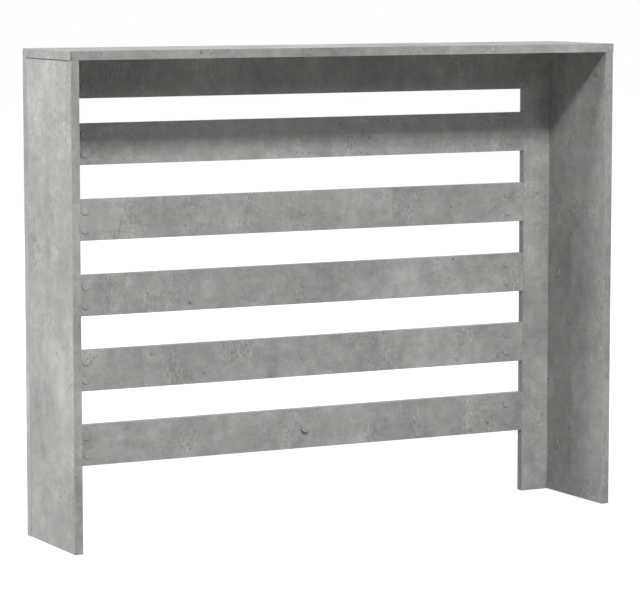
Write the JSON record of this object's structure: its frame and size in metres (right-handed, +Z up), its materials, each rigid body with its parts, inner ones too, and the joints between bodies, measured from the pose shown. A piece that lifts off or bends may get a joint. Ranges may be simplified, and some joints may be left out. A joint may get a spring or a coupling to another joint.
{
  "type": "radiator cover cabinet",
  "caption": "Free-standing radiator cover with a flat top shelf, two side panels and horizontal slats between two stiles, open at the back and at the bottom.",
  "frame": {"origin": "on the floor, under the middle of the cover's bounding box", "axes": "+Z up, +X along the top panel, the slatted front faces -Y and the open back faces +Y"},
  "size_m": [1.04, 0.2, 0.822],
  "materials": {
    "concrete_decor": "decor paper in a mottled concrete grey on particle board, matt",
    "cover_cap": "grey moulded plastic, satin",
    "zinc_plated_steel": "bright zinc plating"
  },
  "bodies": {
    "root": {"top_panel": "concrete_decor", "side_panel_left": "concrete_decor", "side_panel_right": "concrete_decor", "stile_left": "concrete_decor", "stile_right": "concrete_decor", "slat_1": "concrete_decor", "slat_2": "concrete_decor", "slat_3": "concrete_decor", "slat_4": "concrete_decor", "slat_5": "concrete_decor", "slat_6": "concrete_decor", "slat_1_connector_left_upper": "cover_cap", "slat_1_connector_left_lower": "cover_cap", "slat_1_connector_right_upper": "cover_cap", "slat_1_connector_right_lower": "cover_cap", "slat_2_connector_left_upper": "cover_cap", "slat_2_connector_left_lower": "cover_cap", "slat_2_connector_right_upper": "cover_cap", "slat_2_connector_right_lower": "cover_cap", "slat_3_connector_left_upper": "cover_cap", "slat_3_connector_left_lower": "cover_cap", "slat_3_connector_right_upper": "cover_cap", "slat_3_connector_right_lower": "cover_cap", "slat_4_connector_left_upper": "cover_cap", "slat_4_connector_left_lower": "cover_cap", "slat_4_connector_right_upper": "cover_cap", "slat_4_connector_right_lower": "cover_cap", "slat_5_connector_left_upper": "cover_cap", "slat_5_connector_left_lower": "cover_cap", "slat_5_connector_right_upper": "cover_cap", "slat_5_connector_right_lower": "cover_cap", "slat_6_connector_left_upper": "cover_cap", "slat_6_connector_left_lower": "cover_cap", "slat_6_connector_right_upper": "cover_cap", "slat_6_connector_right_lower": "cover_cap", "stile_joint_left_lower_cam": "cover_cap", "stile_joint_left_middle_cam": "cover_cap", "stile_joint_left_upper_cam": "cover_cap", "stile_joint_right_lower_cam": "cover_cap", "stile_joint_right_middle_cam": "cover_cap", "stile_joint_right_upper_cam": "cover_cap", "top_joint_left_front_cam": "cover_cap", "top_joint_left_back_cam": "cover_cap", "top_joint_right_front_cam": "cover_cap", "top_joint_right_back_cam": "cover_cap", "stile_joint_left_lower_bolt": "zinc_plated_steel", "stile_joint_left_middle_bolt": "zinc_plated_steel", "stile_joint_left_upper_bolt": "zinc_plated_steel", "stile_joint_right_lower_bolt": "zinc_plated_steel", "stile_joint_right_middle_bolt": "zinc_plated_steel", "stile_joint_right_upper_bolt": "zinc_plated_steel", "top_joint_left_front_bolt": "zinc_plated_steel", "top_joint_left_back_bolt": "zinc_plated_steel", "top_joint_right_front_bolt": "zinc_plated_steel", "top_joint_right_back_bolt": "zinc_plated_steel", "slat_2_centre_plug": "cover_cap", "slat_3_centre_plug": "cover_cap", "slat_4_centre_plug": "cover_cap", "slat_5_centre_plug": "cover_cap", "slat_6_centre_plug": "cover_cap"}
  },
  "joints": []
}
